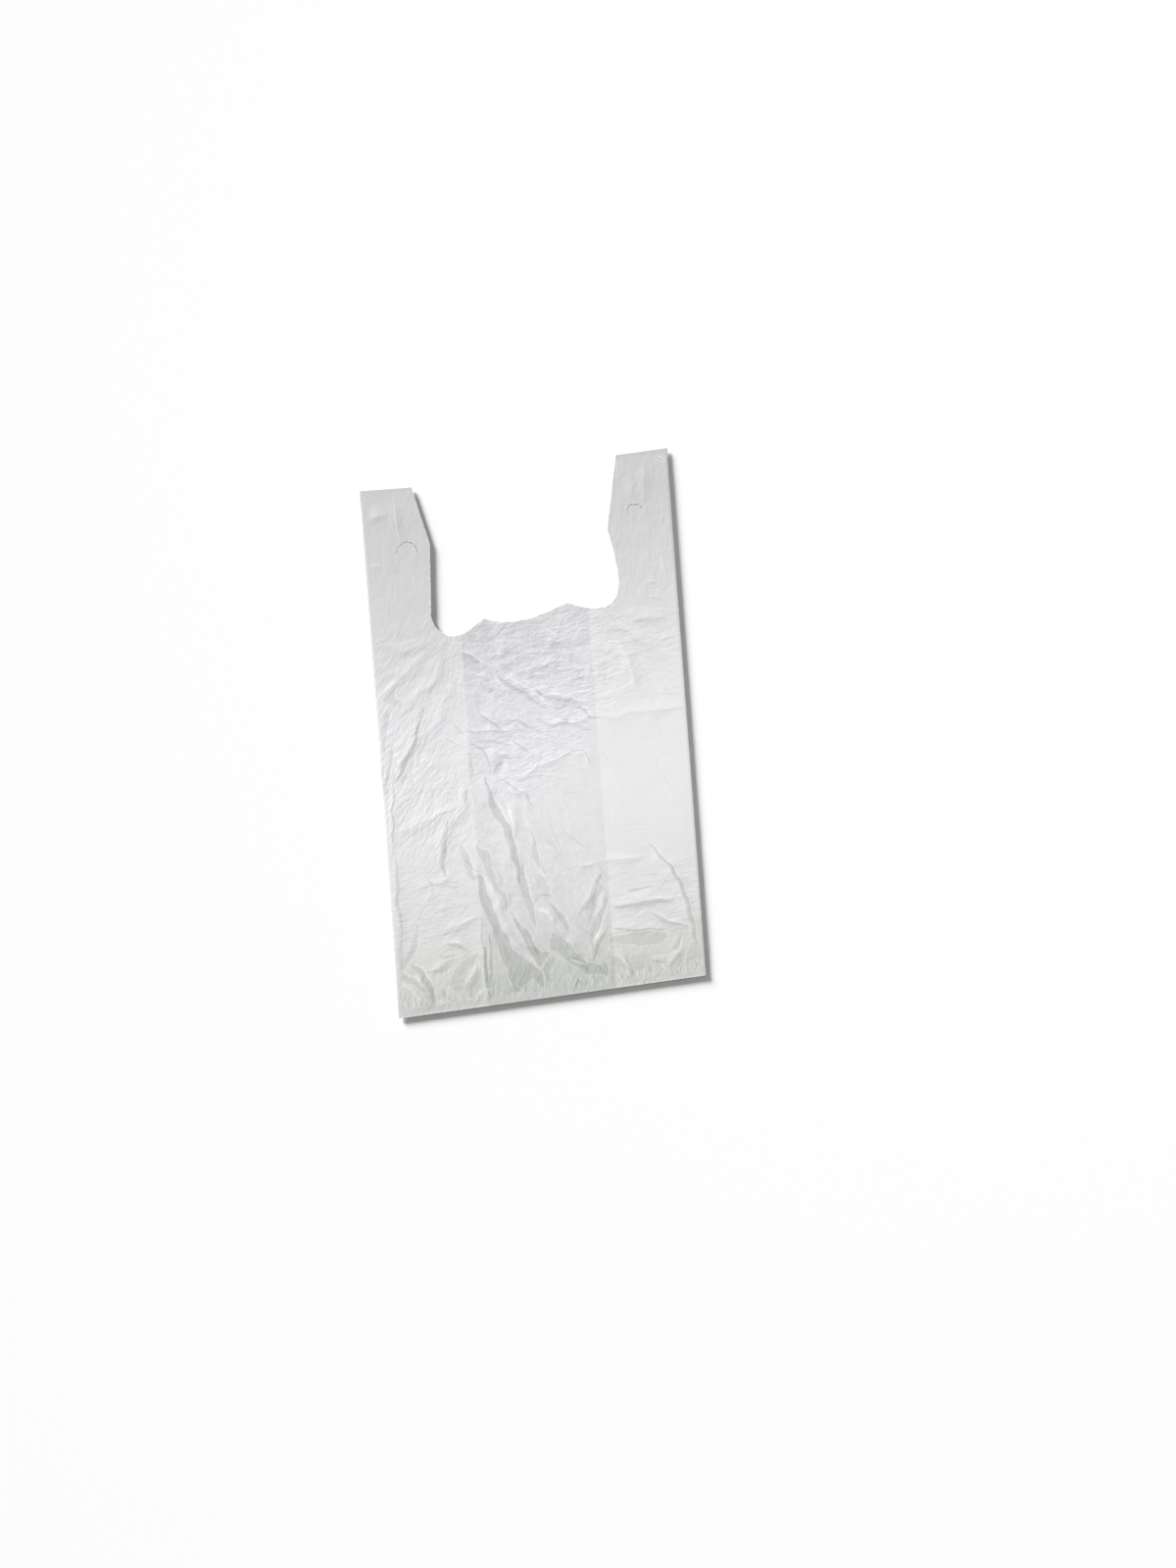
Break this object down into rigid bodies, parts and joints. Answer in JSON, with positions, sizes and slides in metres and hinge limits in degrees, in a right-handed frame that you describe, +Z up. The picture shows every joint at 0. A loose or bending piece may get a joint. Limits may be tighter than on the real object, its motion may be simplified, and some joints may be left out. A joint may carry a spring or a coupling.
{
  "type": "plastic carrier bag",
  "caption": "Empty vest-style carrier bag of thin translucent film, lying flat, with side gussets, two loop handles and a half-oval slit in each handle.",
  "frame": {"origin": "under the middle of the bag's box, on the surface that the bag lies on", "axes": "+Z up out of the front panel, +Y along the bag's sides towards the handles, +X to the right seen from above"},
  "size_m": [0.3048, 0.54, 0.0081],
  "materials": {
    "film": "translucent white blown film with a soft sheen and fine crinkles"
  },
  "bodies": {
    "root": {"carrier_bag": "film"}
  },
  "joints": []
}
